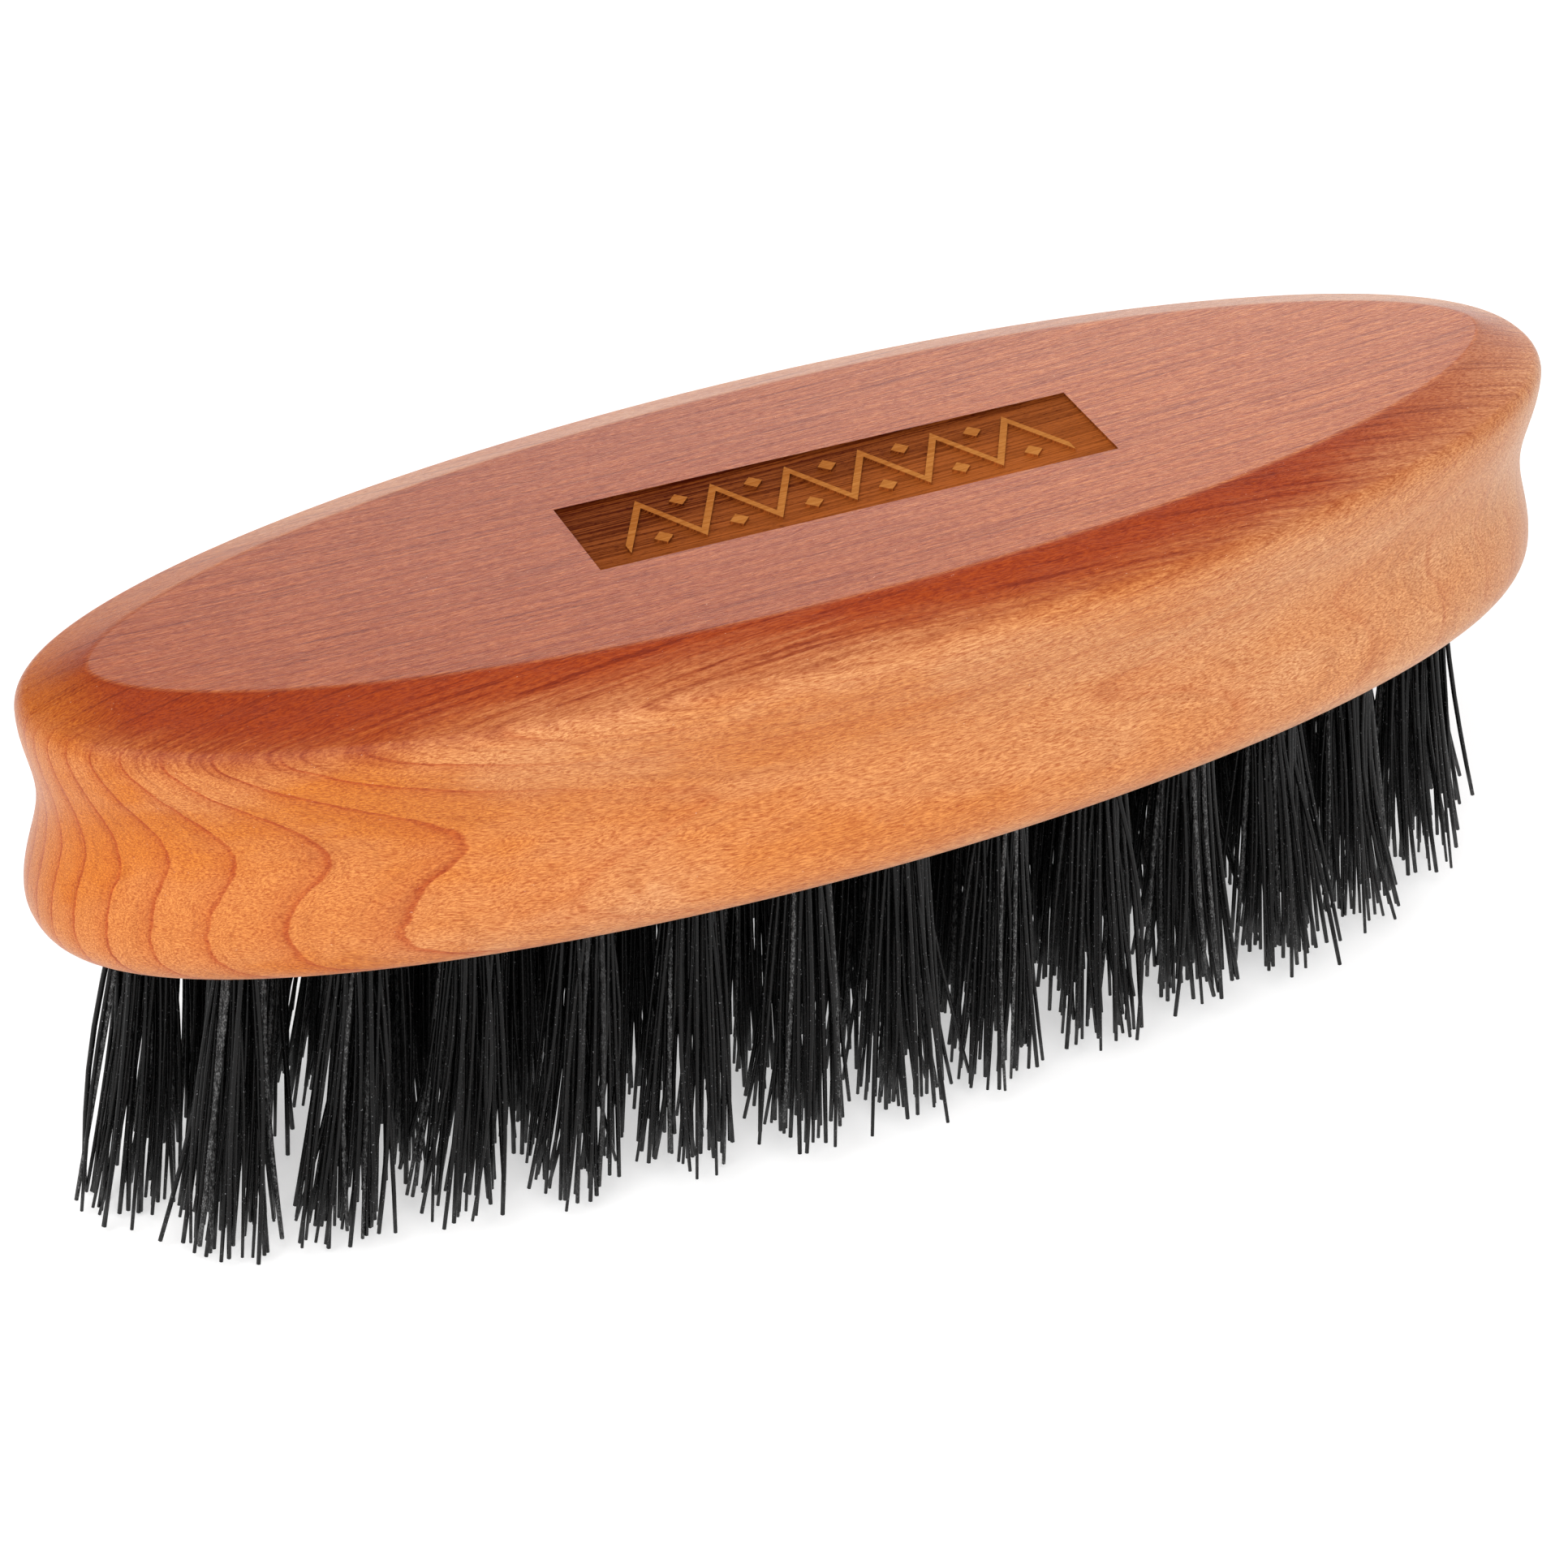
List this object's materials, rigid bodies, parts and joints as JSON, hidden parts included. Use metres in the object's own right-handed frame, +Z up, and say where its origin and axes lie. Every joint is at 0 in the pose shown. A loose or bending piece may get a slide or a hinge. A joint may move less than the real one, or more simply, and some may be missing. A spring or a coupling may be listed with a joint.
{
  "type": "beard brush",
  "caption": "Palm-size oval wooden beard brush: flat bevelled top, finger groove round the side, and stiff dark bristle tufts anchored in holes in its underside.",
  "frame": {"origin": "under the middle of the oval, on the plane of the bristle tips that the brush stands on", "axes": "+X along the block, +Y across it, +Z up out of the flat top"},
  "size_m": [0.11, 0.0356, 0.0424],
  "materials": {
    "pear_wood": "satin, lightly oiled, fine straight grain",
    "bristle": "stiff dark hair with a satin sheen",
    "anchor_wire": "plain drawn flat wire"
  },
  "bodies": {
    "root": {"wood_block": "pear_wood", "anchor_staples": "anchor_wire", "tuft_outer_01": "bristle", "tuft_outer_02": "bristle", "tuft_outer_03": "bristle", "tuft_outer_04": "bristle", "tuft_outer_05": "bristle", "tuft_outer_06": "bristle", "tuft_outer_07": "bristle", "tuft_outer_08": "bristle", "tuft_outer_09": "bristle", "tuft_outer_10": "bristle", "tuft_outer_11": "bristle", "tuft_outer_12": "bristle", "tuft_outer_13": "bristle", "tuft_outer_14": "bristle", "tuft_outer_15": "bristle", "tuft_outer_16": "bristle", "tuft_outer_17": "bristle", "tuft_outer_18": "bristle", "tuft_outer_19": "bristle", "tuft_outer_20": "bristle", "tuft_outer_21": "bristle", "tuft_outer_22": "bristle", "tuft_outer_23": "bristle", "tuft_outer_24": "bristle", "tuft_outer_25": "bristle", "tuft_outer_26": "bristle", "tuft_outer_27": "bristle", "tuft_outer_28": "bristle", "tuft_inner_01": "bristle", "tuft_inner_02": "bristle", "tuft_inner_03": "bristle", "tuft_inner_04": "bristle", "tuft_inner_05": "bristle", "tuft_inner_06": "bristle", "tuft_inner_07": "bristle", "tuft_inner_08": "bristle", "tuft_inner_09": "bristle", "tuft_inner_10": "bristle", "tuft_inner_11": "bristle", "tuft_inner_12": "bristle", "tuft_inner_13": "bristle", "tuft_inner_14": "bristle", "tuft_inner_15": "bristle", "tuft_inner_16": "bristle", "tuft_inner_17": "bristle", "tuft_inner_18": "bristle", "tuft_inner_19": "bristle", "tuft_inner_20": "bristle", "tuft_centre_01": "bristle", "tuft_centre_02": "bristle", "tuft_centre_03": "bristle", "tuft_centre_04": "bristle", "tuft_centre_05": "bristle", "tuft_centre_06": "bristle", "tuft_centre_07": "bristle", "tuft_centre_08": "bristle", "tuft_centre_09": "bristle"}
  },
  "joints": []
}
